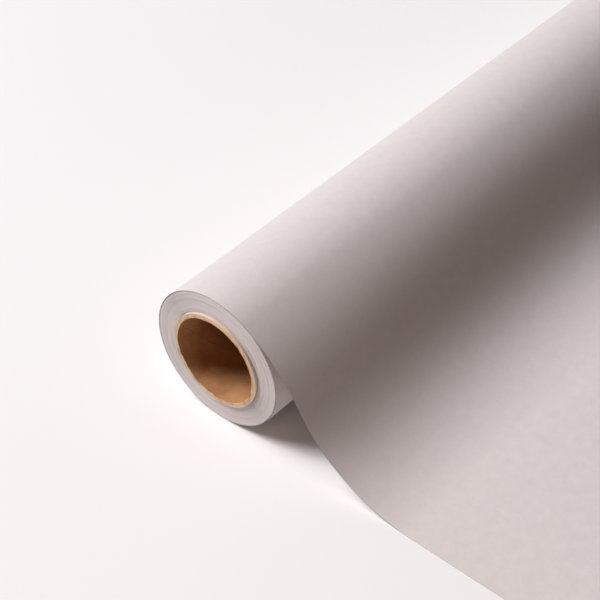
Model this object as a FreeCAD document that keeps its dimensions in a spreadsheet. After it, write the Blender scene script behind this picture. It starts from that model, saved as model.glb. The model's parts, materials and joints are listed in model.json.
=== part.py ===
"""Backdrop paper roll: a wound length of paper on a paperboard core.

The roll lies on a surface with its axis along X. The outermost wrap leaves the roll over its top,
comes down over the front (-Y) in one sweep, lands flat and ends in a straight cut edge.
Millimetres, +Z up. The origin is on the core's axis, at the middle of its length.
"""
import FreeCAD, Part
import math
import os

import Sketcher
from FreeCAD import Placement, Rotation, Vector

SIZES = (
    ("core_bore_diameter", 50.8, "bore of the core, a 2 inch tube"),
    ("core_wall", 2.5, "wall of the core, all plies together"),
    ("body_ply_count", 5, "plies between the liner and the outer ply"),
    ("core_overhang", 1.5, "how far the core stands out of the paper at each end"),
    ("tape_thickness", 0.15, "tape that fixes the paper's inner end to the core"),
    ("tape_span", 70, "angle of the core that each strip of tape covers, degrees"),
    ("tape_width", 50, "width of a strip of tape, along the roll"),
    ("tape_inset", 150, "middle of the first and last strip, from the end of the paper"),
    ("paper_width", 1350, "width of the paper, along the roll"),
    ("paper_thickness", 0.2, "thickness of one layer of paper"),
    ("roll_diameter", 80.6, "outside of the outermost wrap"),
    ("wrap_clearance", 0.3, "gap in which the wound paper turns inside the outermost wrap"),
    ("leave_angle", 60, "where the sheet leaves the roll, degrees above the front horizontal"),
    ("wrap_tuck", 12, "how far below that place the outermost wrap begins, degrees"),
    ("shoulder_radius", 95, "underside radius of the sheet's rounded shoulder"),
    ("shoulder_turn", 26, "how far the shoulder turns down, degrees"),
    ("straight_run", 11.6, "straight stretch between the shoulder and the landing curve"),
    ("floor_length", 420, "flat stretch between the landing curve and the leading edge"),
    ("leading_strip", 30, "depth of the leading edge strip"),
    ("seam_gap", 0.3, "gap between the flat stretch and the leading edge strip"),
)

doc = FreeCAD.newDocument("backdrop_paper_roll")
sheet = doc.addObject("Spreadsheet::Sheet", "sizes")
sheet.Label = "sizes"
for row, (alias, value, meaning) in enumerate(SIZES, start=1):
    sheet.set(f"A{row}", alias)
    sheet.set(f"B{row}", str(value))
    sheet.set(f"C{row}", meaning)
    sheet.setAlias(f"B{row}", alias)
doc.recompute()


def size(alias):
    """The value of one cell."""
    return float(sheet.get(alias))


def mm(formula):
    """A length from cell names, as an expression."""
    return f"({named(formula)}) * 1 mm"


def deg(formula):
    """An angle from cell names, as an expression."""
    return f"({named(formula)}) * 1 deg"


def named(formula):
    """The formula with each cell's name led by the sheet's."""
    words = formula.split(" ")
    aliases = {alias for alias, _, _ in SIZES}
    return " ".join(f"<<sizes>>.{word}" if word in aliases else word for word in words)


# ---- formulas that more than one piece takes its size or place from ----

PLY = "( core_wall / ( body_ply_count + 2 ) )"
CORE_OUTER = "( core_bore_diameter / 2 + core_wall )"
COIL_INNER = f"( {CORE_OUTER} + tape_thickness )"
WRAP_OUTER = "( roll_diameter / 2 )"
WRAP_INNER = f"( {WRAP_OUTER} - paper_thickness )"
COIL_OUTER = f"( {WRAP_INNER} - wrap_clearance )"
CORE_LENGTH = "( paper_width + 2 * core_overhang )"


# ---- sketches and bodies ----

def new_body(label):
    """A body with a sketch across the roll: sketch right is +Y and sketch up is +Z."""
    body = doc.addObject("PartDesign::Body", label)
    body.Label = label
    section = body.newObject("Sketcher::SketchObject", label + "_section")
    planes = [plane for plane in body.Origin.OriginFeatures if plane.Role == "YZ_Plane"]
    section.AttachmentSupport = [(planes[0], "")]
    section.MapMode = "FlatFace"
    return body, section


def drive(section, name, formula, *constraint):
    """Add a dimension to a sketch and bind it to the sheet."""
    index = section.addConstraint(Sketcher.Constraint(*constraint))
    section.renameConstraint(index, name)
    section.setExpression(f"Constraints.{name}", formula)


def fix(section, *constraint):
    """Add a constraint that has no size."""
    section.addConstraint(Sketcher.Constraint(*constraint))


def pad(body, section, length_formula):
    """Pad the section along the roll, the same length to each side of its middle."""
    solid = body.newObject("PartDesign::Pad", body.Label + "_pad")
    solid.Profile = section
    solid.SideType = "Symmetric"
    solid.setExpression("Length", length_formula)
    body.Tip = solid
    section.Visibility = False
    return body


def tube(label, inner, outer, length):
    """A tube round the roll's axis, from formulas for its radii and its length."""
    body, section = new_body(label)
    for name, formula, start_value in (("inner", inner, 1), ("outer", outer, 2)):
        circle = Part.Circle(Vector(0, 0, 0), Vector(0, 0, 1), start_value)
        geometry = section.addGeometry(circle, False)
        fix(section, "Coincident", geometry, 3, -1, 1)
        drive(section, name, mm(formula), "Radius", geometry, start_value)
    return pad(body, section, mm(length))


def arc(section, centre, radius, start, end):
    """Add an arc that runs anticlockwise between two angles in degrees."""
    circle = Part.Circle(Vector(centre[0], centre[1], 0), Vector(0, 0, 1), radius)
    return section.addGeometry(Part.ArcOfCircle(circle, math.radians(start), math.radians(end)), False)


def line(section, start, end, construction=False):
    """Add a straight line between two points."""
    segment = Part.LineSegment(Vector(start[0], start[1], 0), Vector(end[0], end[1], 0))
    return section.addGeometry(segment, construction)


def polar(centre, radius, angle):
    """The point at an angle, in degrees anticlockwise from +Y, round a centre."""
    turn = math.radians(angle)
    return centre[0] + radius * math.cos(turn), centre[1] + radius * math.sin(turn)


# ---- the core: spiral plies of paperboard, one tube inside the next ----

def core_plies():
    """The liner, the body plies and the outer ply, each from its place in the wall."""
    count = int(size("body_ply_count"))
    labels = ["core_inner_liner"]
    labels += [f"core_ply_{number}" for number in range(1, count + 1)]
    labels.append("core_outer_ply")
    plies = []
    for place, label in enumerate(labels):
        inner = f"core_bore_diameter / 2 + {place} * {PLY}"
        outer = f"core_bore_diameter / 2 + {place + 1} * {PLY}"
        plies.append(tube(label, inner, outer, CORE_LENGTH))
    return plies


def start_tape(label, place):
    """One strip of tape under the first winding, a thin shell over part of the core."""
    body, section = new_body(label)
    core_radius = size("core_bore_diameter") / 2 + size("core_wall")
    tape_radius = core_radius + size("tape_thickness")
    start, end = 90 - size("tape_span") / 2, 90 + size("tape_span") / 2
    inner = arc(section, (0, 0), core_radius, start, end)
    outer = arc(section, (0, 0), tape_radius, start, end)
    for geometry in (inner, outer):
        fix(section, "Coincident", geometry, 3, -1, 1)
    for corner, angle in ((1, start), (2, end)):
        edge = line(section, polar((0, 0), core_radius, angle), polar((0, 0), tape_radius, angle))
        fix(section, "Coincident", edge, 1, inner, corner)
        fix(section, "Coincident", edge, 2, outer, corner)
        fix(section, "PointOnObject", -1, 1, edge)
    fix(section, "Symmetric", inner, 1, inner, 2, -2)
    drive(section, "inner", mm(CORE_OUTER), "Radius", inner, core_radius)
    drive(section, "outer", mm(COIL_INNER), "Radius", outer, tape_radius)
    drive(section, "span", deg("tape_span"), "Angle", inner, math.radians(end - start))
    pad(body, section, mm("tape_width"))
    body.setExpression("Placement.Base.x", mm(place))
    return body


def start_tapes():
    """The strips at the near end, the middle and the far end of the paper's inner edge."""
    places = {
        "start_tape_near": "tape_inset - paper_width / 2",
        "start_tape_middle": "0",
        "start_tape_far": "paper_width / 2 - tape_inset",
    }
    return [start_tape(label, place) for label, place in places.items()]


# ---- the sheet: outermost wrap, shoulder, straight run, landing curve, flat stretch ----

def sheet_side(section, height):
    """One side of the sheet as wrap, shoulder, run and landing, near where they will be solved.

    height is 0 for the underside and the paper's thickness for the upper side. The straight run
    heads a quarter turn beyond the direction that the sheet faces, and the landing curve's radius
    is the one that brings the underside down flat at the lowest level of the roll.
    """
    floor = -size("roll_diameter") / 2
    wrap = -floor - size("paper_thickness")
    leave = 180 - size("leave_angle")
    facing = leave + size("shoulder_turn")
    shoulder = size("shoulder_radius")
    shoulder_centre = polar((0, 0), wrap - shoulder, leave)
    run_start = polar(shoulder_centre, shoulder, facing)
    run_end = polar(run_start, size("straight_run"), facing + 90)
    landing = (run_end[1] - floor) / (1 - math.sin(math.radians(facing)))
    landing_centre = polar(run_end, landing, facing)
    return (
        arc(section, (0, 0), wrap + height, leave + size("wrap_tuck"), leave + 360),
        arc(section, shoulder_centre, shoulder + height, leave, facing),
        line(section, polar(run_start, height, facing), polar(run_end, height, facing)),
        arc(section, landing_centre, landing - height, 270, facing + 180),
    )


def sweep_sheet():
    """The outermost wrap and the free sweep, one sheet from its tucked start to its landing."""
    body, section = new_body("sweep_sheet")
    thickness = size("paper_thickness")
    under = sheet_side(section, 0)
    upper = sheet_side(section, thickness)
    for wrap, shoulder, run, landing in (under, upper):
        fix(section, "Coincident", wrap, 3, -1, 1)
        fix(section, "Tangent", wrap, 2, shoulder, 1)
        fix(section, "Tangent", shoulder, 2, run, 1)
        fix(section, "Tangent", run, 2, landing, 2)
    fix(section, "Coincident", under[1], 3, upper[1], 3)
    fix(section, "Coincident", under[3], 3, upper[3], 3)
    fix(section, "Parallel", under[2], upper[2])

    start = 180 - size("leave_angle") + size("wrap_tuck")
    wrap_radius = size("roll_diameter") / 2 - thickness
    tuck = line(section, polar((0, 0), wrap_radius, start), polar((0, 0), wrap_radius + thickness, start))
    fix(section, "Coincident", tuck, 1, under[0], 1)
    fix(section, "Coincident", tuck, 2, upper[0], 1)
    fix(section, "PointOnObject", -1, 1, tuck)
    leave = line(section, (0, 0), polar((0, 0), wrap_radius, 180 - size("leave_angle")), True)
    fix(section, "Coincident", leave, 1, -1, 1)
    fix(section, "Coincident", leave, 2, under[0], 2)

    landing_y = -size("roll_diameter") * 1.5
    floor = -size("roll_diameter") / 2
    end = line(section, (landing_y, floor), (landing_y, floor + thickness))
    fix(section, "Coincident", end, 1, under[3], 1)
    fix(section, "Coincident", end, 2, upper[3], 1)
    fix(section, "Vertical", end)
    fix(section, "Vertical", under[3], 3, under[3], 1)

    drive(section, "wrap_under", mm(WRAP_INNER), "Radius", under[0], wrap_radius)
    drive(section, "wrap_upper", mm(WRAP_OUTER), "Radius", upper[0], wrap_radius + thickness)
    drive(section, "shoulder_under", mm("shoulder_radius"), "Radius", under[1], size("shoulder_radius"))
    drive(section, "shoulder_turn", deg("shoulder_turn"), "Angle", under[1],
          math.radians(size("shoulder_turn")))
    drive(section, "run_length", mm("straight_run"), "Distance", under[2], size("straight_run"))
    drive(section, "leave_direction", deg("180 - leave_angle"), "Angle", -1, 1, leave, 1,
          math.radians(180 - size("leave_angle")))
    drive(section, "tuck_direction", deg("180 - leave_angle + wrap_tuck"), "Angle", -1, 1, tuck, 1,
          math.radians(start))
    drive(section, "floor_level", mm(WRAP_OUTER), "DistanceY", under[3], 1, -1, 1, -floor)
    reach = section.addConstraint(
        Sketcher.Constraint("DistanceX", under[3], 1, -1, 1, -landing_y))
    section.renameConstraint(reach, "landing_reach")
    section.setDriving(reach, False)
    return pad(body, section, mm("paper_width"))


LANDING_REACH = "<<sweep_sheet_section>>.Constraints.landing_reach"


def flat_strip(label, near_formula, length_formula):
    """A flat stretch of the sheet on the surface, ahead of the landing curve."""
    strip = doc.addObject("Part::Box", label)
    strip.Label = label
    strip.setExpression("Length", mm("paper_width"))
    strip.setExpression("Width", length_formula)
    strip.setExpression("Height", mm("paper_thickness"))
    strip.setExpression("Placement.Base.x", mm("0 - paper_width / 2"))
    strip.setExpression("Placement.Base.y", f"0 mm - {LANDING_REACH} - {near_formula} - {length_formula}")
    strip.setExpression("Placement.Base.z", mm("0 - roll_diameter / 2"))
    return strip


# ---- build, test and write each piece ----

pieces = core_plies()
pieces += start_tapes()
pieces.append(tube("wound_paper", COIL_INNER, COIL_OUTER, "paper_width"))
pieces.append(sweep_sheet())
doc.recompute()
pieces.append(flat_strip("floor_stretch", "0 mm", mm("floor_length")))
pieces.append(flat_strip("leading_edge", mm("floor_length + seam_gap"), mm("leading_strip")))
doc.recompute()

for item in doc.Objects:
    if "Invalid" in item.State or "Error" in item.State:
        raise RuntimeError(f"{item.Label} failed to build")
for piece in pieces:
    if piece.Shape.isNull() or not piece.Shape.isValid() or piece.Shape.Volume <= 0:
        raise RuntimeError(f"{piece.Label} is not a sound solid")

os.makedirs("parts", exist_ok=True)
for piece in pieces:
    piece.Shape.exportStep(f"parts/{piece.Label}.step")
    box = piece.Shape.BoundBox
    print(f"{piece.Label:18} {piece.Shape.Volume / 1000:9.2f} cm3  "
          f"y {box.YMin:8.2f} to {box.YMax:7.2f}  z {box.ZMin:7.2f} to {box.ZMax:7.2f}")
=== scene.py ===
"""Backdrop paper roll: the visual model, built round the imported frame.

A long sheet of matte backdrop paper is wound on a paperboard core. The roll lies on a surface and
the outermost wrap comes over its top, sweeps down over the front and runs out flat to a cut edge.
Everything is in metres, with the core's axis along X and the free sheet towards -Y.
"""

import json
import logging
import math
from dataclasses import dataclass
from enum import Enum
from typing import Any, Callable, Iterable, Sequence

import bpy
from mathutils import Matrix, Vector, noise


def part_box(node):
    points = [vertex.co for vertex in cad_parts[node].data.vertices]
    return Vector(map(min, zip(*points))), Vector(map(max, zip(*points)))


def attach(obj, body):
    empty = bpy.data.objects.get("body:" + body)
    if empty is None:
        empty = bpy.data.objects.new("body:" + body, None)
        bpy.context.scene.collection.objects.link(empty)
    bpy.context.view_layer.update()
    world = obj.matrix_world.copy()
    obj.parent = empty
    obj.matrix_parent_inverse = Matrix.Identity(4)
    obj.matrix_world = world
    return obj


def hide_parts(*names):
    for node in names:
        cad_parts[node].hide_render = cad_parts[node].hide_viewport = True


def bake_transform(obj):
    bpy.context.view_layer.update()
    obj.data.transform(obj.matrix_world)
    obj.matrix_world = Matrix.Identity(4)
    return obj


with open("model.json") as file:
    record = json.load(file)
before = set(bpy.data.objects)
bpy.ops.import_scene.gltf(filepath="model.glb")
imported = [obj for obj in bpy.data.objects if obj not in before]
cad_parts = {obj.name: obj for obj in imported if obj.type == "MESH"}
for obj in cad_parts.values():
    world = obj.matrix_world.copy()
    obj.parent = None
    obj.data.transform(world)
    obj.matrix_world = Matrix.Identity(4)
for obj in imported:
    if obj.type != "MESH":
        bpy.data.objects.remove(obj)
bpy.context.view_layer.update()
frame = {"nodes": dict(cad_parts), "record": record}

MM = 0.001
LOG = logging.getLogger("backdrop_roll")

FACES_ALONG = 0.6  # a face counts as a cut end where its normal's X is more than this
SHEET_CREASE = math.radians(40)  # a sheet stays smooth up to this angle
SAME_PLACE = 0.001 * MM  # places closer than this are the same


# ---------------------------------------------------------------- sizes from the frame

@dataclass(frozen=True)
class RollSizes:
    """The roll's sizes, read from the frame's boxes and mounts.

    Args:
        near_x: where the wound paper ends at the end that stands first in view.
        far_x: where it ends at the other end.
        core_near_x: the same for the core, which stands out of the paper.
        core_far_x: the core's far end.
        bore: the core's bore radius.
        coil_inner: the radius of the first winding's inner face.
        coil_outer: the radius of the last winding's outer face.
        outer: the outermost wrap's radius, which is also how far the floor lies below the axis.
        paper: the thickness of one layer of paper.
        landing_y: where the sheet comes to lie flat.
        strip_y: where the leading edge strip begins. Not used.
        front_y: the sheet's cut front edge.
    """

    near_x: float
    far_x: float
    core_near_x: float
    core_far_x: float
    bore: float
    coil_inner: float
    coil_outer: float
    outer: float
    paper: float
    landing_y: float
    strip_y: float
    front_y: float

    @classmethod
    def from_frame(cls) -> "RollSizes":
        """Reads each size from the node that has it.

        Returns:
            The sizes in metres.
        """
        coil_low, coil_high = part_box("wound_paper")
        core_low, core_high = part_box("core_outer_ply")
        flat_low, flat_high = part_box("floor_stretch")
        edge_low, edge_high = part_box("leading_edge")
        tape_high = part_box("start_tape_middle")[1]
        bores = [mount for mount in frame["record"]["mounts"] if mount["name"] == "core_bore"]
        return cls(
            near_x=coil_low[0], far_x=coil_high[0],
            core_near_x=core_low[0], core_far_x=core_high[0],
            bore=bores[0]["dims"]["r_mm"] * MM,
            coil_inner=tape_high[2], coil_outer=round(coil_high[1], 5),
            outer=-flat_low[2], paper=flat_high[2] - flat_low[2],
            landing_y=flat_high[1], strip_y=edge_high[1], front_y=edge_low[1],
        )

    @property
    def floor(self) -> float:
        """The level that the roll and the flat stretch lie on."""
        return -self.outer


class Ply(Enum):
    """The core's plies, from the bore outwards, by the CAD node that each one replaces."""

    LINER = "core_inner_liner"
    FIRST = "core_ply_1"
    SECOND = "core_ply_2"
    THIRD = "core_ply_3"
    FOURTH = "core_ply_4"
    FIFTH = "core_ply_5"
    COVER = "core_outer_ply"


class End(Enum):
    """The two ends of the roll, as the sign of X that each one faces."""

    NEAR = -1
    FAR = 1


# ---------------------------------------------------------------- materials

def linear(hex_colour: str) -> tuple[float, float, float, float]:
    """Turns an sRGB hex colour into Blender's linear colour.

    Args:
        hex_colour: six hex digits with a leading hash.

    Returns:
        Red, green, blue and an alpha of one.
    """
    channels = [int(hex_colour[place:place + 2], 16) / 255 for place in (1, 3, 5)]
    red, green, blue = (
        value / 12.92 if value <= 0.04045 else ((value + 0.055) / 1.055) ** 2.4
        for value in channels
    )
    return red, green, blue, 1.0


def feed(owner: bpy.types.Material | bpy.types.World, node: bpy.types.Node,
         inputs: dict[str | int, Any]) -> None:
    """Sets a node's inputs, and links the ones that another node feeds.

    Args:
        owner: the material or world whose tree has the node.
        node: the node.
        inputs: socket name or place to a value, or to an output socket that feeds it.
    """
    for socket, value in inputs.items():
        if isinstance(value, bpy.types.NodeSocket):
            owner.node_tree.links.new(value, node.inputs[socket])
        else:
            node.inputs[socket].default_value = value


def add_node(owner: bpy.types.Material | bpy.types.World, kind: str,
             inputs: dict[str | int, Any] | None = None, **settings: Any) -> bpy.types.Node:
    """Adds one shader node, sets it and links it.

    Args:
        owner: the material or world whose tree gets the node.
        kind: the node's type, without the leading ShaderNode.
        inputs: its inputs, as for feed.
        settings: the node's own properties.

    Returns:
        The new node.
    """
    node = owner.node_tree.nodes.new(f"ShaderNode{kind}")
    for name, value in settings.items():
        setattr(node, name, value)
    feed(owner, node, inputs or {})
    return node


def ramp(material: bpy.types.Material, factor: bpy.types.NodeSocket,
         stops: Sequence[tuple[float, str]]) -> bpy.types.NodeSocket:
    """Maps a factor to colours.

    Args:
        material: the material whose tree gets the ramp.
        factor: what drives it.
        stops: places from 0 to 1 with their sRGB hex colours.

    Returns:
        The ramp's colour output.
    """
    node = add_node(material, "ValToRGB", {"Fac": factor})
    elements = node.color_ramp.elements
    while len(elements) < len(stops):
        elements.new(0.5)
    for element, (place, colour) in zip(elements, stops):
        element.position = place
        element.color = linear(colour)
    return node.outputs["Color"]


def pattern_scale(size_mm: float) -> float:
    """The scale at which a pattern's features have a real size in millimetres."""
    return 1 / (size_mm * MM)


def from_axis(material: bpy.types.Material,
              place: bpy.types.NodeSocket) -> tuple[bpy.types.NodeSocket, bpy.types.NodeSocket]:
    """Works out where a place is, seen along the roll's axis.

    Args:
        material: the material whose tree gets the nodes.
        place: the place, in Object coordinates.

    Returns:
        The place without its X, and its distance from the axis.
    """
    flat = add_node(material, "VectorMath", {
        0: place, 1: (0.0, 1.0, 1.0),
    }, operation="MULTIPLY").outputs["Vector"]
    radius = add_node(material, "VectorMath", {0: flat}, operation="LENGTH").outputs["Value"]
    return flat, radius


def new_material(name: str) -> tuple[bpy.types.Material, bpy.types.Node]:
    """Makes a material with only its output and a Principled shader.

    Args:
        name: the real material and how it was made.

    Returns:
        The material and its shader node.
    """
    material = bpy.data.materials.new(name)
    material.use_nodes = True
    material.node_tree.nodes.clear()
    shader = add_node(material, "BsdfPrincipled")
    add_node(material, "OutputMaterial", {"Surface": shader.outputs["BSDF"]})
    return material, shader


@dataclass(frozen=True)
class BackdropPaper:
    """Uncoated wood-fibre paper, pulp-dyed and calendered on one pass.

    The eye gets an even warm pale grey with faint cloudy formation, short fibres that only show
    close up, and no gloss but a dull lift at grazing angles.

    Args:
        light: the colour where the sheet is thin.
        dark: the colour where the fibres lie thick.
        cloud_mm: the size of the formation clouds.
        fibre_mm: the length of a fibre clump, as coarse as it needs to be to show.
        fibre_slim: how many times longer across the sheet than along it a clump is.
        roughness: the roughness between the clumps and on them.
        relief_mm: how high the fibres stand.
    """

    light: str = "#DDD4D2"
    dark: str = "#D3CAC8"
    cloud_mm: float = 6.0
    fibre_mm: float = 1.1
    fibre_slim: float = 2.6
    roughness: tuple[float, float] = (0.62, 0.78)
    relief_mm: float = 0.07

    def build(self) -> bpy.types.Material:
        """Builds the material on the sheet's own UV map, which is in metres of paper."""
        material, shader = new_material("uncoated_backdrop_paper_calendered")
        place = add_node(material, "UVMap", uv_map="paper").outputs["UV"]
        clouds = add_node(material, "TexNoise", {
            "Vector": place, "Scale": pattern_scale(self.cloud_mm), "Detail": 4.0, "Roughness": 0.6,
        })
        stretched = add_node(material, "Mapping", {
            "Vector": place, "Scale": (1.0, self.fibre_slim, 1.0),
        })
        fibres = add_node(material, "TexNoise", {
            "Vector": stretched.outputs["Vector"], "Scale": pattern_scale(self.fibre_mm),
            "Detail": 5.0, "Roughness": 0.72, "Distortion": 0.6,
        })
        tone = add_node(material, "Math", {
            0: clouds.outputs["Fac"], 1: 0.6, 2: fibres.outputs["Fac"],
        }, operation="MULTIPLY_ADD")
        level = add_node(material, "MapRange", {
            "Value": tone.outputs["Value"], "From Min": 0.6, "From Max": 1.0,
        })
        colour = ramp(material, level.outputs["Result"], ((0.0, self.dark), (1.0, self.light)))
        rough = add_node(material, "MapRange", {
            "Value": fibres.outputs["Fac"], "To Min": self.roughness[0],
            "To Max": self.roughness[1],
        })
        relief = add_node(material, "Bump", {
            "Height": fibres.outputs["Fac"], "Strength": 0.6, "Distance": self.relief_mm * MM,
        })
        feed(material, shader, {
            "Base Color": colour, "Roughness": rough.outputs["Result"],
            "Normal": relief.outputs["Normal"], "IOR": 1.45, "Specular IOR Level": 0.5,
            "Sheen Weight": 0.06, "Sheen Roughness": 0.6,
        })
        return material


@dataclass(frozen=True)
class PaperCutEdge:
    """The slit edges of the same paper: wound tight, as one ringed face, or a single layer's.

    The eye gets a slightly duller grey than the sheet, with fine rings and broader faint bands
    that are painted lighter where they stand out and darker where they lie back: painted shade of
    single layers that stand out or back and of bands where the winding tension changed. A single
    layer's edge is a dark hairline, painted shade: its colours are dark for the shadow beside the
    end face.

    Args:
        name: the real material and how it was made.
        light: the colour where the pattern stands out, the lit side of the painted shading.
        dark: the colour where it lies back, painted shade.
        ring_mm: the spacing of the finest rings, one layer of paper.
        band_mm: the width of the broader bands.
        drift_mm: how far the bands wander in and out on their way round.
        grain_mm: the size of the finest grain.
        relief_mm: how high the rings and the grain stand.
    """

    name: str = "slit_edges_of_wound_paper"
    light: str = "#E2D9D6"
    dark: str = "#C9C0BD"
    ring_mm: float = 0.24
    band_mm: float = 1.6
    drift_mm: float = 1.2
    grain_mm: float = 1.111111
    relief_mm: float = 0.06

    def build(self) -> bpy.types.Material:
        """Builds the material on the distance from the roll's axis."""
        material, shader = new_material(self.name)
        place = add_node(material, "TexCoord").outputs["Object"]
        flat, radius = from_axis(material, place)
        turned = add_node(material, "VectorMath", {0: flat}, operation="NORMALIZE")
        drift = add_node(material, "TexNoise", {
            "Vector": turned.outputs["Vector"], "Scale": 1.4, "Detail": 2.0,
        })
        shifted = add_node(material, "Math", {
            0: drift.outputs["Fac"], 1: self.drift_mm * MM, 2: radius,
        }, operation="MULTIPLY_ADD")
        rings = add_node(material, "TexNoise", {
            "W": radius, "Scale": pattern_scale(self.ring_mm), "Detail": 1.0,
        }, noise_dimensions="1D")
        bands = add_node(material, "TexNoise", {
            "W": shifted.outputs["Value"], "Scale": pattern_scale(self.band_mm), "Detail": 2.0,
        }, noise_dimensions="1D")
        grain = add_node(material, "TexNoise", {
            "Vector": place, "Scale": pattern_scale(self.grain_mm), "Detail": 3.0,
        })
        both = add_node(material, "Math", {
            0: rings.outputs["Fac"], 1: 0.4, 2: bands.outputs["Fac"],
        }, operation="MULTIPLY_ADD")
        tone = add_node(material, "Math", {
            0: grain.outputs["Fac"], 1: 0.25, 2: both.outputs["Value"],
        }, operation="MULTIPLY_ADD")
        level = add_node(material, "MapRange", {
            "Value": tone.outputs["Value"], "From Min": 0.5, "From Max": 1.15,
        })
        # The tone also drives the bump, so rings and bands are painted lighter where they stand out
        # and darker where they lie back: painted shade.
        colour = ramp(material, level.outputs["Result"], ((0.0, self.dark), (1.0, self.light)))
        relief = add_node(material, "Bump", {
            "Height": tone.outputs["Value"], "Strength": 0.3, "Distance": self.relief_mm * MM,
        })
        feed(material, shader, {
            "Base Color": colour, "Normal": relief.outputs["Normal"], "Roughness": 0.9,
            "IOR": 1.45, "Specular IOR Level": 0.2,
        })
        return material


@dataclass(frozen=True)
class KraftBoard:
    """Recycled kraft board, wound in a spiral and glued into a tube.

    The eye gets a warm brown with long faint fibres along the winding direction, small darker
    specks of recycled fibre, and one thin helical line where the strip's edges meet.

    Args:
        name: the real material and how it was made.
        light: the colour between the fibres.
        dark: the colour of the thick fibres.
        seam: the colour of the joint line.
        seam_pitch_mm: how far the strip's joint moves along the tube in one turn.
        seam_mm: the width of the joint line.
        seam_start_mm: where along the tube the joint crosses the front horizontal.
        fibre_mm: the width of a fibre clump.
        fibre_lie: how fast the clumps change across the winding direction, round the tube and
            along it.
        speck_mm: the size of the recycled specks.
        cloud_mm: the size of the lighter and darker patches.
        relief_mm: how high the fibres stand.
    """

    name: str = "kraft_board_spiral_wound"
    light: str = "#BE8D62"
    dark: str = "#9C6D46"
    seam: str = "#8A6040"
    seam_pitch_mm: float = 118.0
    seam_mm: float = 0.5
    seam_start_mm: float = 40.0
    fibre_mm: float = 0.909091
    fibre_lie: tuple[float, float, float] = (1.0, 0.012, 0.1)
    speck_mm: float = 1.428571
    cloud_mm: float = 11.11111
    relief_mm: float = 0.08

    def build(self) -> bpy.types.Material:
        """Builds the material round the tube's axis, from Object coordinates."""
        material, shader = new_material(self.name)
        place = add_node(material, "TexCoord").outputs["Object"]
        parts = add_node(material, "SeparateXYZ", {"Vector": place}).outputs
        angle = add_node(material, "Math", {0: parts["Z"], 1: parts["Y"]}, operation="ARCTAN2")
        along = add_node(material, "Math", {
            0: parts["X"], 1: self.seam_start_mm * MM,
        }, operation="SUBTRACT")
        turn = add_node(material, "Math", {
            0: angle.outputs["Value"], 1: self.seam_pitch_mm * MM / (2 * math.pi),
            2: along.outputs["Value"],
        }, operation="MULTIPLY_ADD")
        across = add_node(material, "Math", {
            0: turn.outputs["Value"], 1: self.seam_pitch_mm * MM / 2,
        }, operation="PINGPONG")
        line = add_node(material, "MapRange", {
            "Value": across.outputs["Value"], "From Min": 0.0, "From Max": self.seam_mm * MM,
            "To Min": 0.6, "To Max": 0.0,
        }, interpolation_type="SMOOTHSTEP")
        helix = add_node(material, "CombineXYZ", {
            "X": turn.outputs["Value"], "Y": angle.outputs["Value"], "Z": parts["X"],
        })
        grained = add_node(material, "Mapping", {
            "Vector": helix.outputs["Vector"], "Scale": self.fibre_lie,
        })
        fibres = add_node(material, "TexNoise", {
            "Vector": grained.outputs["Vector"], "Scale": pattern_scale(self.fibre_mm),
            "Detail": 4.0, "Roughness": 0.65,
        })
        specks = add_node(material, "TexNoise", {
            "Vector": place, "Scale": pattern_scale(self.speck_mm), "Detail": 3.0, "Roughness": 0.7,
        })
        clouds = add_node(material, "TexNoise", {
            "Vector": place, "Scale": pattern_scale(self.cloud_mm), "Detail": 2.0,
        })
        blend = add_node(material, "Math", {
            0: fibres.outputs["Fac"], 1: 0.6, 2: clouds.outputs["Fac"],
        }, operation="MULTIPLY_ADD")
        level = add_node(material, "MapRange", {
            "Value": blend.outputs["Value"], "From Min": 0.55, "From Max": 1.05,
        })
        board = ramp(material, level.outputs["Result"], ((0.0, self.dark), (1.0, self.light)))
        speck = add_node(material, "MapRange", {
            "Value": specks.outputs["Fac"], "From Min": 0.64, "From Max": 0.74, "To Max": 0.45,
        })
        spotted = add_node(material, "Mix", {
            "Factor": speck.outputs["Result"], 6: board, 7: linear(self.seam),
        }, data_type="RGBA")
        joined = add_node(material, "Mix", {
            "Factor": line.outputs["Result"], 6: spotted.outputs[2], 7: linear(self.seam),
        }, data_type="RGBA")
        sunk = add_node(material, "Math", {
            0: line.outputs["Result"], 1: -0.8, 2: fibres.outputs["Fac"],
        }, operation="MULTIPLY_ADD")
        relief = add_node(material, "Bump", {
            "Height": sunk.outputs["Value"], "Strength": 0.5, "Distance": self.relief_mm * MM,
        })
        feed(material, shader, {
            "Base Color": joined.outputs[2], "Normal": relief.outputs["Normal"],
            "Roughness": 0.72, "IOR": 1.48, "Specular IOR Level": 0.35,
        })
        return material


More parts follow.
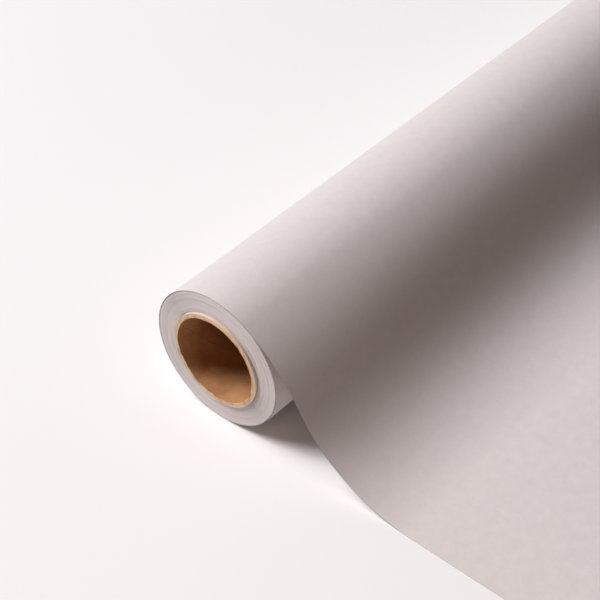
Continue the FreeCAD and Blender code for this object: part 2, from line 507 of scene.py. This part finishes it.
@dataclass(frozen=True)
class BoardCut:
    """The sawn end of the board tube.

    The eye gets a fuzzy pale tan, lighter than the board's faces because its fibres are cut open,
    with thin darker glue lines between the plies.

    Args:
        ply_mm: the thickness of one ply.
        bore_mm: the bore radius, from which the plies are counted.
        wall_mm: the thickness of all plies together.
        light: the colour of freshly cut fibre.
        pale: the same for the bleached cover plies.
        dark: the colour of the glue lines and of fibre that was crushed by the saw.
        pale_from: how far out in the wall the pale fibre begins, as a share of the wall.
        pale_all: the same for where there is nothing else.
        glue_mm: the width of a glue line, to each side of the joint.
        fuzz_mm: the size of the finest fibre ends.
        patch_mm: the size of the patches that the saw left lighter or darker.
        relief_mm: how high the fuzz stands.
    """

    ply_mm: float
    bore_mm: float
    wall_mm: float
    light: str = "#E2C3A0"
    pale: str = "#DBCFC5"
    dark: str = "#BE9A76"
    pale_from: float = 0.74
    pale_all: float = 0.96
    glue_mm: float = 0.08
    fuzz_mm: float = 0.666667
    patch_mm: float = 4.166667
    relief_mm: float = 0.12

    def build(self) -> bpy.types.Material:
        """Builds the material on the distance from the tube's axis."""
        material, shader = new_material("kraft_board_sawn_end")
        place = add_node(material, "TexCoord").outputs["Object"]
        radius = from_axis(material, place)[1]
        from_bore = add_node(material, "Math", {
            0: radius, 1: self.bore_mm * MM,
        }, operation="SUBTRACT")
        from_glue = add_node(material, "Math", {
            0: from_bore.outputs["Value"], 1: self.ply_mm * MM / 2,
        }, operation="PINGPONG")
        glue = add_node(material, "MapRange", {
            "Value": from_glue.outputs["Value"], "From Max": self.glue_mm * MM, "To Min": 0.5,
            "To Max": 0.0,
        }, interpolation_type="SMOOTHSTEP")
        fuzz = add_node(material, "TexNoise", {
            "Vector": place, "Scale": pattern_scale(self.fuzz_mm), "Detail": 5.0, "Roughness": 0.75,
        })
        patches = add_node(material, "TexNoise", {
            "Vector": place, "Scale": pattern_scale(self.patch_mm), "Detail": 2.0,
        })
        worn = add_node(material, "Math", {
            0: fuzz.outputs["Fac"], 1: 0.7, 2: patches.outputs["Fac"],
        }, operation="MULTIPLY_ADD")
        level = add_node(material, "MapRange", {
            "Value": worn.outputs["Value"], "From Min": 0.6, "From Max": 1.05,
        })
        board = ramp(material, level.outputs["Result"], ((0.0, self.dark), (0.55, self.light)))
        outwards = add_node(material, "MapRange", {
            "Value": from_bore.outputs["Value"], "From Min": self.pale_from * self.wall_mm * MM,
            "From Max": self.pale_all * self.wall_mm * MM,
        }, interpolation_type="SMOOTHSTEP")
        bleached = add_node(material, "Mix", {
            "Factor": outwards.outputs["Result"], 6: board, 7: linear(self.pale),
        }, data_type="RGBA")
        glued = add_node(material, "Mix", {
            "Factor": glue.outputs["Result"], 6: bleached.outputs[2], 7: linear(self.dark),
        }, data_type="RGBA")
        relief = add_node(material, "Bump", {
            "Height": fuzz.outputs["Fac"], "Strength": 0.6, "Distance": self.relief_mm * MM,
        })
        feed(material, shader, {
            "Base Color": glued.outputs[2], "Normal": relief.outputs["Normal"],
            "Roughness": 0.9, "Specular IOR Level": 0.2,
        })
        return material


@dataclass(frozen=True)
class CrepeTape:
    """Creped paper tape, saturated and coated with adhesive.

    The eye gets a pale straw colour with fine ridges across the strip, painted lighter on the
    ridges and darker between them as painted shade.

    Args:
        light: the colour on the ridges, the lit side of the painted shading.
        dark: the colour between them, painted shade.
        ridge_mm: the spacing of the ridges.
        ridge_slim: how fast a ridge changes along the roll, against round it.
        relief_mm: how high the ridges stand.
    """

    light: str = "#DCC89A"
    dark: str = "#C4AB76"
    ridge_mm: float = 0.6
    ridge_slim: float = 0.2
    relief_mm: float = 0.05

    def build(self) -> bpy.types.Material:
        """Builds the material along the roll, from Object coordinates."""
        material, shader = new_material("creped_paper_tape")
        place = add_node(material, "TexCoord").outputs["Object"]
        stretched = add_node(material, "Mapping", {
            "Vector": place, "Scale": (self.ridge_slim, 1.0, 1.0),
        })
        ridges = add_node(material, "TexNoise", {
            "Vector": stretched.outputs["Vector"], "Scale": pattern_scale(self.ridge_mm),
            "Detail": 3.0,
        })
        # Painted shade: the ridge pattern that drives the bump also makes the colour darker between
        # the ridges.
        colour = ramp(material, ridges.outputs["Fac"], ((0.35, self.dark), (0.65, self.light)))
        relief = add_node(material, "Bump", {
            "Height": ridges.outputs["Fac"], "Strength": 0.5, "Distance": self.relief_mm * MM,
        })
        feed(material, shader, {
            "Base Color": colour, "Normal": relief.outputs["Normal"], "Roughness": 0.6,
        })
        return material


@dataclass(frozen=True)
class StudioFloor:
    """Matte painted board under the object, plain and pale.

    Args:
        colour: its one colour.
    """

    colour: str = "#F1EFEE"

    def build(self) -> bpy.types.Material:
        """Builds the plain material."""
        material, shader = new_material("matte_painted_board")
        feed(material, shader, {
            "Base Color": linear(self.colour), "Roughness": 0.95, "Specular IOR Level": 0.1,
        })
        return material


# ---------------------------------------------------------------- mesh tools

def deselect_all() -> None:
    """Leaves nothing selected and no object in edit mode."""
    if bpy.context.object and bpy.context.object.mode != "OBJECT":
        bpy.ops.object.mode_set(mode="OBJECT")
    bpy.ops.object.select_all(action="DESELECT")


def make_active(piece: bpy.types.Object) -> None:
    """Selects one object alone and makes it active."""
    deselect_all()
    piece.select_set(True)
    bpy.context.view_layer.objects.active = piece


def apply_modifiers(piece: bpy.types.Object) -> None:
    """Applies every modifier of a piece, in order."""
    make_active(piece)
    for modifier in list(piece.modifiers):
        bpy.ops.object.modifier_apply(modifier=modifier.name)


def mark_vertices(piece: bpy.types.Object, group: str, wanted: Callable[[Vector], bool]) -> None:
    """Puts the vertices that a test picks into a vertex group.

    Args:
        piece: the mesh object.
        group: the group's name.
        wanted: the test of a vertex's place.
    """
    marked = piece.vertex_groups.new(name=group)
    marked.add([v.index for v in piece.data.vertices if wanted(v.co)], 1.0, "REPLACE")


def dress(piece: bpy.types.Object, face: bpy.types.Material, cut: bpy.types.Material) -> None:
    """Gives a piece one material, and another on the faces that look along the roll.

    Args:
        piece: the mesh object.
        face: the material of its broad faces.
        cut: the material of its ends.
    """
    piece.data.materials.clear()
    piece.data.materials.append(face)
    piece.data.materials.append(cut)
    for polygon in piece.data.polygons:
        polygon.material_index = int(abs(polygon.normal.x) > FACES_ALONG)


def travel(line: Sequence[tuple[float, float]]) -> list[float]:
    """How far along a line each of its places is, from its first."""
    gone = [0.0]
    for before, after in zip(line, line[1:]):
        gone.append(gone[-1] + math.dist(before, after))
    return gone


def sheet_mesh(name: str, line: Sequence[tuple[float, float]], rows: Sequence[Sequence[float]],
               lift: Callable[[int, float], float], thickness: float) -> bpy.types.Object:
    """Builds a thin closed sheet of paper from the line that its middle follows.

    Args:
        name: the object's name.
        line: the places (y, z) that the middle of the sheet goes through.
        rows: for each place on the line, the X of each point across the sheet.
        lift: how far a point stands off the line along its normal, from the place's number on
            the line and the point's X.
        thickness: the paper's thickness.

    Returns:
        The object, smooth, with a UV map named paper in metres of paper.
    """
    count, across = len(line), len(rows[0])
    normals = []
    for place in range(count):
        before, after = line[max(place - 1, 0)], line[min(place + 1, count - 1)]
        run, rise = after[0] - before[0], after[1] - before[1]
        length = math.hypot(run, rise)
        normals.append((rise / length, -run / length))
    travelled = travel(line)

    vertices = []
    for side in (0.5, -0.5):
        for place, ((y, z), (ny, nz)) in enumerate(zip(line, normals)):
            for x in rows[place]:
                off = side * thickness + lift(place, x)
                vertices.append((x, y + ny * off, z + nz * off))
    under = count * across
    faces = []

    def point(place: int, column: int, lower: bool) -> int:
        """The index of one point of the upper or the lower side."""
        return place * across + column + (under if lower else 0)

    for place in range(count - 1):
        for column in range(across - 1):
            corners = [(place, column), (place, column + 1),
                       (place + 1, column + 1), (place + 1, column)]
            faces.append([point(p, c, False) for p, c in corners])
            faces.append([point(p, c, True) for p, c in reversed(corners)])
    for place in range(count - 1):
        for column, flip in ((0, True), (across - 1, False)):
            rim = [point(place, column, False), point(place, column, True),
                   point(place + 1, column, True), point(place + 1, column, False)]
            faces.append(rim[::-1] if flip else rim)
    for column in range(across - 1):
        for place, flip in ((0, False), (count - 1, True)):
            rim = [point(place, column, False), point(place, column, True),
                   point(place, column + 1, True), point(place, column + 1, False)]
            faces.append(rim[::-1] if flip else rim)

    mesh = bpy.data.meshes.new(name)
    mesh.from_pydata(vertices, [], faces)
    unrolled = []
    for loop in mesh.loops:
        place, column = divmod(loop.vertex_index % under, across)
        unrolled += (rows[place][column], travelled[place])
    mesh.uv_layers.new(name="paper").data.foreach_set("uv", unrolled)
    mesh.validate()
    piece = bpy.data.objects.new(name, mesh)
    bpy.context.scene.collection.objects.link(piece)
    make_active(piece)
    bpy.ops.object.mode_set(mode="EDIT")
    bpy.ops.mesh.select_all(action="SELECT")
    bpy.ops.mesh.normals_make_consistent(inside=False)
    bpy.ops.object.mode_set(mode="OBJECT")
    bpy.ops.object.shade_smooth_by_angle(angle=SHEET_CREASE)
    return piece


def evenly(start: float, end: float, count: int) -> list[float]:
    """The places that split a stretch into equal steps, both ends included."""
    return [start + (end - start) * step / count for step in range(count + 1)]


def around(centre: tuple[float, float], radius: float, degrees: float) -> tuple[float, float]:
    """The place at a direction, anticlockwise from +Y, round a centre."""
    turn = math.radians(degrees)
    return centre[0] + radius * math.cos(turn), centre[1] + radius * math.sin(turn)


def between(start: tuple[float, float], end: tuple[float, float],
            share: float) -> tuple[float, float]:
    """The place a share of the way from one place to another."""
    return start[0] + (end[0] - start[0]) * share, start[1] + (end[1] - start[1]) * share


# ---------------------------------------------------------------- the core

@dataclass
class PaperCore:
    """The core: seven plies of board, one tube inside the next, sawn off together.

    Args:
        sizes: the roll's sizes.
        segments: corners round each ply.
        board_share: how much of a ply's thickness is board. The rest is the glue line.
        saw_depth: how far from the end the saw has loosened the board.
        sawn_share: how much of that depth, from the end, is uneven.
        saw_wave: how uneven the sawn edge of a ply is.
        saw_grain_mm: the size of its bumps, to which each place outwards in the wall adds a step.
        saw_grain_step_mm: that step.
        burr_wave: saw_wave for the innermost ply, which nothing backs on the bore side.
        burr_grain_mm: the size of that ply's bumps.
        burr_lean: how far they lean across the wall, against how far they stand out.
        burr_level: the pattern's level, from 0 to 1, where they don't lean.
        edge_round: how far the sawn edges are worn round.
        worn_above: the angle between two faces, in degrees, from which their edge is worn.
        smooth_below: the angle up to which the board is shaded smooth, in degrees.
    """

    sizes: RollSizes
    segments: int = 160
    board_share: float = 0.98
    saw_depth: float = 1.2 * MM
    sawn_share: float = 0.4
    saw_wave: float = 0.16 * MM
    saw_grain_mm: float = 1.5
    saw_grain_step_mm: float = 0.2
    burr_wave: float = 1.9 * MM
    burr_grain_mm: float = 3.0
    burr_lean: float = 0.7
    burr_level: float = 0.42
    edge_round: float = 0.07 * MM
    worn_above: float = 60.0
    smooth_below: float = 50.0

    @property
    def ply(self) -> float:
        """The thickness of one ply."""
        wall = round(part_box(Ply.COVER.value)[1][1], 5) - self.sizes.bore
        return wall / len(Ply)

    def build(self) -> list[bpy.types.Object]:
        """Builds and dresses every ply.

        Returns:
            The plies, from the bore outwards.
        """
        cut = BoardCut(ply_mm=self.ply / MM, bore_mm=self.sizes.bore / MM,
                       wall_mm=len(Ply) * self.ply / MM).build()
        liner = KraftBoard().build()
        body = KraftBoard(name="kraft_board_body_ply", light="#C3A078", dark="#A98660",
                          seam="#8C6A48", seam_pitch_mm=131.0).build()
        cover = KraftBoard(name="kraft_board_cover_ply", light="#D4C6B6", dark="#C3B3A1",
                           seam="#A99A88", seam_pitch_mm=124.0).build()
        faces = {Ply.LINER: liner, Ply.COVER: cover}
        plies = []
        for place, which in enumerate(Ply):
            piece = self.tube(which, place)
            dress(piece, faces.get(which, body), cut)
            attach(piece, "roll")
            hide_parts(which.value)
            plies.append(piece)
        return plies

    def tube(self, which: Ply, place: int) -> bpy.types.Object:
        """Models one ply as a tube with an uneven sawn end.

        Args:
            which: the ply.
            place: its place in the wall, from the bore.

        Returns:
            The finished object.
        """
        sizes = self.sizes
        outer = sizes.bore + (place + 1) * self.ply
        near, far = sizes.core_near_x, sizes.core_far_x
        deselect_all()
        bpy.ops.mesh.primitive_cylinder_add(
            vertices=self.segments, radius=outer, depth=far - near, end_fill_type="NOTHING",
            location=((near + far) / 2, 0, 0), rotation=(0, math.pi / 2, 0))
        piece = bpy.context.object
        piece.name = piece.data.name = which.value.replace("core_", "board_")
        bpy.ops.object.transform_apply(location=True, rotation=True, scale=True)
        bpy.ops.object.mode_set(mode="EDIT")
        for x in (near + self.saw_depth, near + self.saw_depth / 2,
                  far - self.saw_depth / 2, far - self.saw_depth):
            bpy.ops.mesh.select_all(action="SELECT")
            bpy.ops.mesh.bisect(plane_co=(x, 0, 0), plane_no=(1, 0, 0))
        bpy.ops.object.mode_set(mode="OBJECT")

        wall = piece.modifiers.new("wall", "SOLIDIFY")
        wall.thickness = self.ply * self.board_share
        wall.offset = -1
        worn = piece.modifiers.new("worn", "BEVEL")
        worn.width = self.edge_round
        worn.segments = 2
        worn.limit_method = "ANGLE"
        worn.angle_limit = math.radians(self.worn_above)
        apply_modifiers(piece)
        self.saw_cut(piece, which, place)
        make_active(piece)
        bpy.ops.object.shade_smooth_by_angle(angle=math.radians(self.smooth_below))
        return piece

    def saw_cut(self, piece: bpy.types.Object, which: Ply, place: int) -> None:
        """Makes a ply's sawn ends uneven.

        Args:
            piece: the ply's object.
            which: the ply.
            place: its place in the wall, which shifts the pattern.
        """
        sizes = self.sizes
        near = sizes.core_near_x + self.saw_depth * self.sawn_share
        far = sizes.core_far_x - self.saw_depth * self.sawn_share
        mark_vertices(piece, "sawn", lambda spot: spot.x < near or spot.x > far)
        pattern = bpy.data.textures.new(f"saw_marks_{which.name.lower()}", "CLOUDS")
        bare = which is Ply.LINER
        bump_mm = self.burr_grain_mm if bare else self.saw_grain_mm + self.saw_grain_step_mm * place
        pattern.noise_scale = bump_mm * MM
        pattern.noise_depth = 2
        along = piece.modifiers.new("along", "DISPLACE")
        along.texture = pattern
        along.direction = "X"
        along.strength = self.burr_wave if bare else self.saw_wave
        along.mid_level = 0.5
        along.vertex_group = "sawn"
        if bare:
            inward = piece.modifiers.new("inward", "DISPLACE")
            inward.texture = pattern
            inward.direction = "NORMAL"
            inward.strength = self.burr_wave * self.burr_lean
            inward.mid_level = self.burr_level
            inward.vertex_group = "sawn"
        apply_modifiers(piece)


@dataclass
class StartTapes:
    """The three strips of tape under the first winding, which are CAD nodes as they stand.

    Args:
        nodes: the strips' names.
    """

    nodes: tuple[str, ...] = ("start_tape_near", "start_tape_middle", "start_tape_far")

    def build(self) -> list[bpy.types.Object]:
        """Dresses the strips.

        Returns:
            The strips.
        """
        tape = CrepeTape().build()
        strips = [frame["nodes"][name] for name in self.nodes]
        for strip in strips:
            strip.data.materials.clear()
            strip.data.materials.append(tape)
        return strips


# ---------------------------------------------------------------- the paper

@dataclass(frozen=True)
class LooseTurns:
    """A few turns that stand out of the end face, or lie back in it, part of the way round.

    Args:
        turn: the middle one, counted from the core.
        turns: how many turns to each side of it go most of the way with it.
        out: how far it stands out, below zero where it lies back.
        towards: the direction where it does so most, in degrees anticlockwise from +Y.
        spread: how far to each side of that it fades out, in degrees.
    """

    turn: float
    turns: float
    out: float
    towards: float
    spread: float

    def stand(self, turn: float, direction: float) -> float:
        """How far a turn stands out in one direction.

        Args:
            turn: the turn, counted from the core.
            direction: the direction, in radians anticlockwise from +Y.

        Returns:
            The distance, positive outwards.
        """
        apart = abs((math.degrees(direction) - self.towards + 180) % 360 - 180)
        if apart >= self.spread:
            return 0.0
        fade = 0.5 + 0.5 * math.cos(math.pi * apart / self.spread)
        return self.out * fade * math.exp(-((turn - self.turn) / self.turns) ** 2)


@dataclass
class WoundPaper:
    """The coil: one length of paper wound on the core, edge by edge.

    Args:
        sizes: the roll's sizes.
        face: the material of the paper's faces.
        edge: the material of its slit edges.
        pitch: how much one turn adds to the radius, the paper and the air that it traps.
        steps: points in one turn.
        ends_at: the direction of the last point, in degrees anticlockwise from +Y.
        wander: how far turns stand out or back at the ends of the roll.
        single_pace: how fast that changes from turn to turn, and round the axis.
        single_share: how much of the wander that is.
        broad_pace: the same two for bands of many turns.
        broad_share: how much of the wander the bands are.
        broad_start: where in the noise the bands start.
        ends_apart: how far apart in the noise the roll's two ends are.
        loose: the turns that stand out or lie back by more.
    """

    sizes: RollSizes
    face: bpy.types.Material
    edge: bpy.types.Material
    pitch: float = 0.24 * MM
    steps: int = 120
    ends_at: float = 100.0
    wander: float = 0.10 * MM
    single_pace: tuple[float, float] = (1.7, 0.7)
    single_share: float = 0.6
    broad_pace: tuple[float, float] = (0.16, 0.9)
    broad_share: float = 1.6
    broad_start: float = 3.1
    ends_apart: float = 7.3
    loose: tuple[LooseTurns, ...] = (
        LooseTurns(5.6, 0.8, -0.45 * MM, 118.0, 52.0),
        LooseTurns(8.1, 0.7, 0.30 * MM, 128.0, 46.0),
        LooseTurns(22.0, 1.1, 0.22 * MM, 205.0, 70.0),
        LooseTurns(4.0, 0.9, -0.40 * MM, 305.0, 60.0),
        LooseTurns(40.5, 1.0, -0.16 * MM, 45.0, 60.0),
    )

    @property
    def turns(self) -> float:
        """How many turns the coil has."""
        room = self.sizes.coil_outer - self.sizes.coil_inner - self.sizes.paper
        return room / self.pitch

    @property
    def length(self) -> float:
        """The length of paper in the coil."""
        middle = (self.sizes.coil_outer + self.sizes.coil_inner) / 2
        return 2 * math.pi * middle * self.turns

    def stand(self, end: End, radius: float, direction: float) -> float:
        """How far the paper's edge stands out of the end face at one place.

        Args:
            end: the end of the roll.
            radius: the distance from the axis.
            direction: the direction from the axis, in radians anticlockwise from +Y.

        Returns:
            The distance, positive outwards.
        """
        turn = (radius - self.sizes.coil_inner) / self.pitch
        y, z = math.cos(direction), math.sin(direction)
        away = end.value * self.ends_apart
        outwards, about = self.single_pace
        single = noise.noise(Vector((turn * outwards, y * about + away, z * about)))
        outwards, about = self.broad_pace
        broad = noise.noise(Vector((
            turn * outwards + self.broad_start, y * about, z * about + away)))
        out = self.wander * (self.single_share * single + self.broad_share * broad)
        for turns in self.loose:
            out += turns.stand(turn, direction)
        return out

    def build(self) -> bpy.types.Object:
        """Winds the coil and dresses it.

        Returns:
            The coil's object.
        """
        sizes = self.sizes
        count = round(self.turns * self.steps)
        last = math.radians(self.ends_at)
        line, rows = [], []
        for step in range(count + 1):
            direction = last - (count - step) / self.steps * 2 * math.pi
            radius = sizes.coil_inner + sizes.paper / 2 + self.pitch * step / self.steps
            line.append((radius * math.cos(direction), radius * math.sin(direction)))
            rows.append([
                sizes.near_x - self.stand(End.NEAR, radius, direction),
                sizes.far_x + self.stand(End.FAR, radius, direction),
            ])
        piece = sheet_mesh("paper_winding", line, rows, lambda place, x: 0.0, sizes.paper)
        dress(piece, self.face, self.edge)
        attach(piece, "roll")
        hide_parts("wound_paper")
        return piece


@dataclass
class LaidSheet:
    """The sheet that the eye sees: outermost wrap, sweep over the front, flat stretch, cut edge.

    Args:
        sizes: the roll's sizes.
        face: the material of the paper's faces.
        edge: the material of its slit edges.
        leaves_at: where the sheet leaves the roll, degrees above the front horizontal.
        tucked: how much more than one whole turn the wrap has, in degrees.
        tuck_depth: how much closer to the axis the wrap's start lies than its end.
        shoulder: the underside radius of the rounded shoulder.
        shoulder_turn: how far the shoulder turns down, in degrees.
        straight_run: the straight stretch below the shoulder.
        hang: how much closer to the roll the free sweep hangs away from its stiffer cut sides.
        hang_from_side: how far in from a cut side most of that has grown.
        wave: how far the flat stretch lifts off the surface in places.
        wave_grows: how fast that grows from the landing on, per length of the flat stretch.
        wave_pace: how fast it changes, per metre along the roll and per length of the stretch.
        wave_level: how much of it there is all over.
        wave_row: which row of the noise it takes.
        rim_from: where the cut edge's own waves begin, as a share of the flat stretch.
        rim_grows: how fast they grow from there on.
        rim_pace: how fast they change, per metre along the roll.
        rim_share: how strong they are against the others.
        rim_row: which row of the noise they take.
        columns: steps across the sheet.
        wrap_steps: steps along the wrap.
        shoulder_steps: the same for the shoulder.
        run_steps: the same for the straight run.
        landing_steps: the same for the landing curve.
        flat_steps: the same for the flat stretch.
    """

    sizes: RollSizes
    face: bpy.types.Material
    edge: bpy.types.Material
    leaves_at: float = 60.0
    tucked: float = 20.0
    tuck_depth: float = 0.26 * MM
    shoulder: float = 95.0 * MM
    shoulder_turn: float = 26.0
    straight_run: float = 11.6 * MM
    hang: float = 4.2 * MM
    hang_from_side: float = 110.0 * MM
    wave: float = 0.9 * MM
    wave_grows: float = 2.5
    wave_pace: tuple[float, float] = (3.1, 1.4)
    wave_level: float = 0.35
    wave_row: float = 0.4
    rim_from: float = 0.8
    rim_grows: float = 5.0
    rim_pace: float = 7.0
    rim_share: float = 0.6
    rim_row: float = 5.2
    columns: int = 60
    wrap_steps: int = 140
    shoulder_steps: int = 22
    run_steps: int = 5
    landing_steps: int = 36
    flat_steps: int = 70

    def middle_line(self) -> list[tuple[float, float]]:
        """The line that the middle of the sheet follows, from its tucked start to its cut edge.

        Returns:
            The places as (y, z).
        """
        sizes = self.sizes
        half = sizes.paper / 2
        wrap = sizes.outer - half
        leave = 180.0 - self.leaves_at
        facing = leave + self.shoulder_turn
        turned = 360.0 + self.tucked
        line = []
        for share in evenly(0.0, 1.0, self.wrap_steps)[:-1]:
            radius = wrap - self.tuck_depth * (1 - share)
            line.append(around((0.0, 0.0), radius, leave - turned * (1 - share)))
        shoulder = self.shoulder + half
        centre = around((0.0, 0.0), wrap - shoulder, leave)
        line += [around(centre, shoulder, angle)
                 for angle in evenly(leave, facing, self.shoulder_steps)]
        run_start = line[-1]
        run_end = around(run_start, self.straight_run, facing + 90.0)
        line += [between(run_start, run_end, share)
                 for share in evenly(0.0, 1.0, self.run_steps)[1:]]
        rise = run_end[1] - (sizes.floor + half)
        landing = rise / (1 - math.sin(math.radians(facing)))
        centre = around(run_end, landing, facing)
        line += [around(centre, landing, angle)
                 for angle in evenly(facing + 180.0, 270.0, self.landing_steps)[1:]]
        down = line[-1]
        front = (sizes.front_y, down[1])
        line += [between(down, front, share) for share in evenly(0.0, 1.0, self.flat_steps)[1:]]
        return line

    def lift(self, share_flat: float, x: float) -> float:
        """How far the flat stretch stands off the surface at one place.

        Args:
            share_flat: the place along the flat stretch, from 0 at the landing to 1 at the edge.
            x: the place along the roll.

        Returns:
            The height, never below zero.
        """
        if share_flat <= 0:
            return 0.0
        grown = min(1.0, share_flat * self.wave_grows)
        along_roll, along_sheet = self.wave_pace
        rolling = noise.noise(Vector((x * along_roll, share_flat * along_sheet, self.wave_row)))
        at_rim = max(0.0, share_flat - self.rim_from)
        rim = noise.noise(Vector((x * self.rim_pace, self.rim_row, 0.0))) * at_rim * self.rim_grows
        height = max(0.0, self.wave_level + rolling + self.rim_share * rim)
        return self.wave * grown * grown * height

    def hung(self, share_free: float, x: float) -> float:
        """How far the free sweep hangs in towards the roll at one place.

        Args:
            share_free: the place along the sweep, from 0 where it leaves the roll to 1 at the
                landing.
            x: the place along the roll.

        Returns:
            The distance, never below zero.
        """
        if not 0 < share_free < 1:
            return 0.0
        from_side = min(x - self.sizes.near_x, self.sizes.far_x - x) / self.hang_from_side
        grown = 1 - math.exp(-from_side * from_side)
        return self.hang * math.sin(math.pi * share_free) ** 2 * grown

    def build(self) -> bpy.types.Object:
        """Lays the sheet and dresses it.

        Returns:
            The sheet's object.
        """
        sizes = self.sizes
        line = self.middle_line()
        rows = [evenly(sizes.near_x, sizes.far_x, self.columns) for _ in line]
        travelled = travel(line)
        leaves = travelled[self.wrap_steps]
        lands = next(gone for gone, (y, _) in zip(travelled, line)
                     if y < sizes.landing_y + SAME_PLACE)

        def raised(place: int, x: float) -> float:
            """How far the sheet stands off its line at one place on it."""
            flat = (travelled[place] - lands) / (travelled[-1] - lands)
            free = (travelled[place] - leaves) / (lands - leaves)
            return self.lift(flat, x) - self.hung(free, x)

        piece = sheet_mesh("backdrop_sheet", line, rows, raised, sizes.paper)
        dress(piece, self.face, self.edge)
        sizes.floor
        sizes.floor
        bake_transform(piece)
        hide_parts("sweep_sheet", "floor_stretch", "leading_edge")
        return piece


# ---------------------------------------------------------------- the studio

@dataclass(frozen=True)
class SoftBox:
    """One square soft light.

    Args:
        name: what it is for.
        azimuth: the direction that it hangs in, in degrees anticlockwise from +X.
        elevation: its height above the horizon, in degrees.
        distance: how far it is from the near end.
        side: its width and depth.
        power: its power in watts.
        colour: its colour.
    """

    name: str
    azimuth: float
    elevation: float
    distance: float
    side: float
    power: float
    colour: str = "#FDFCFF"

    def hang(self, aim: Vector) -> None:
        """Hangs the light where it faces the aim, unseen itself.

        Args:
            aim: the place that it faces.
        """
        turn, rise = math.radians(self.azimuth), math.radians(self.elevation)
        level = math.cos(rise)
        direction = Vector((math.cos(turn) * level, math.sin(turn) * level, math.sin(rise)))
        deselect_all()
        bpy.ops.object.light_add(type="AREA", location=aim + direction * self.distance)
        lamp = bpy.context.object
        lamp.name = self.name
        lamp.rotation_euler = direction.to_track_quat("Z", "Y").to_euler()
        lamp.data.shape = "SQUARE"
        lamp.data.size = self.side
        lamp.data.energy = self.power
        lamp.data.color = linear(self.colour)[:3]
        lamp.visible_camera = False


@dataclass
class Studio:
    """A pale floor, two soft lights behind, a dim warm card by the near end and a warm fill.

    Args:
        sizes: the roll's sizes.
        azimuth: the camera's turn about the vertical, in degrees, from one that looks along +Y.
        elevation: how far it looks down, in degrees.
        lens: its focal length in millimetres.
        sensor: its sensor's width in millimetres.
        reach: how far it sees.
        eye: the camera's place from the centre of the near end face, in roll radii.
        lamps: the soft lights.
        fill: the strength of the even light from all round.
        fill_colour: its colour, warm because it stands for light off a room's walls.
        walls: the colour of what shows beyond the floor.
        floor_side: the floor's width and depth.
        floor_gap: how far it lies under the sheet, so that the two faces don't meet.
    """

    sizes: RollSizes
    azimuth: float = -49.136
    elevation: float = 42.347
    lens: float = 101.85
    sensor: float = 36.0
    reach: float = 50.0
    eye: tuple[float, float, float] = (-10.782, -10.710, 14.824)
    lamps: tuple[SoftBox, ...] = (
        SoftBox("key_softbox", 125.0, 48.0, 4.5, 1.62, 167.0),
        SoftBox("high_softbox", 105.0, 58.0, 4.5, 1.62, 97.0),
        SoftBox("side_card", 228.0, 50.0, 0.6, 0.3, 0.27, "#FFD2B0"),
    )
    fill: float = 0.012
    fill_colour: str = "#FFD0B0"
    walls: str = "#E4E2E1"
    floor_side: float = 9.0
    floor_gap: float = 0.02 * MM

    def build(self) -> None:
        """Builds the floor, the lights and the camera."""
        self.floor()
        for lamp in self.lamps:
            lamp.hang(Vector((self.sizes.near_x, 0.0, 0.0)))
        self.surroundings()
        self.camera()
        scene = bpy.context.scene
        scene.view_settings.view_transform = "Standard"
        scene.view_settings.look = "None"

    def floor(self) -> None:
        """Lays the floor just under the sheet."""
        deselect_all()
        level = self.sizes.floor - self.floor_gap
        bpy.ops.mesh.primitive_plane_add(size=self.floor_side, location=(0, 0, level))
        floor = bpy.context.object
        floor.name = "studio_floor"
        floor.data.materials.append(StudioFloor().build())

    def surroundings(self) -> None:
        """Sets the even fill, and the plain walls that show beyond the floor."""
        world = bpy.data.worlds.new("studio_walls")
        bpy.context.scene.world = world
        world.use_nodes = True
        world.node_tree.nodes.clear()
        lit = add_node(world, "Background", {
            "Color": linear(self.fill_colour), "Strength": self.fill,
        })
        seen = add_node(world, "Background", {"Color": linear(self.walls), "Strength": 1.0})
        looked_at = add_node(world, "LightPath").outputs["Is Camera Ray"]
        both = add_node(world, "MixShader", {
            "Fac": looked_at, 1: lit.outputs["Background"], 2: seen.outputs["Background"],
        })
        add_node(world, "OutputWorld", {"Surface": both.outputs["Shader"]})

    def camera(self) -> None:
        """Sets the camera up."""
        sizes = self.sizes
        lens = bpy.data.cameras.new("view")
        lens.sensor_width = self.sensor
        lens.lens = self.lens
        lens.clip_end = self.reach
        camera = bpy.data.objects.new("view", lens)
        camera.location = Vector(self.eye) * sizes.outer + Vector((sizes.near_x, 0, 0))
        camera.rotation_euler = (
            math.radians(90 - self.elevation), 0, math.radians(self.azimuth))
        bpy.context.scene.collection.objects.link(camera)
        bpy.context.scene.camera = camera


def report(pieces: Iterable[bpy.types.Object]) -> None:
    """Logs each finished piece."""
    for piece in pieces:
        LOG.info("%s: %d faces", piece.name, len(piece.data.polygons))


def main() -> None:
    """Builds the core, the tapes, the coil, the sheet and the studio."""
    logging.basicConfig(level=logging.INFO, format="%(name)s %(message)s")
    sizes = RollSizes.from_frame()
    face, edge = BackdropPaper().build(), PaperCutEdge().build()
    report(PaperCore(sizes).build())
    report(StartTapes().build())
    report([WoundPaper(sizes, face, edge).build()])
    # The single layer's edge is coloured dark: painted shade for the hairline of shadow beside the
    # end face.
    shaded_single_edge = PaperCutEdge(
        name="slit_edge_of_one_layer_painted_shade", light="#8F8783", dark="#7A726E").build()
    report([LaidSheet(sizes, face, shaded_single_edge).build()])
    Studio(sizes).build()


if __name__ == "__main__":
    main()
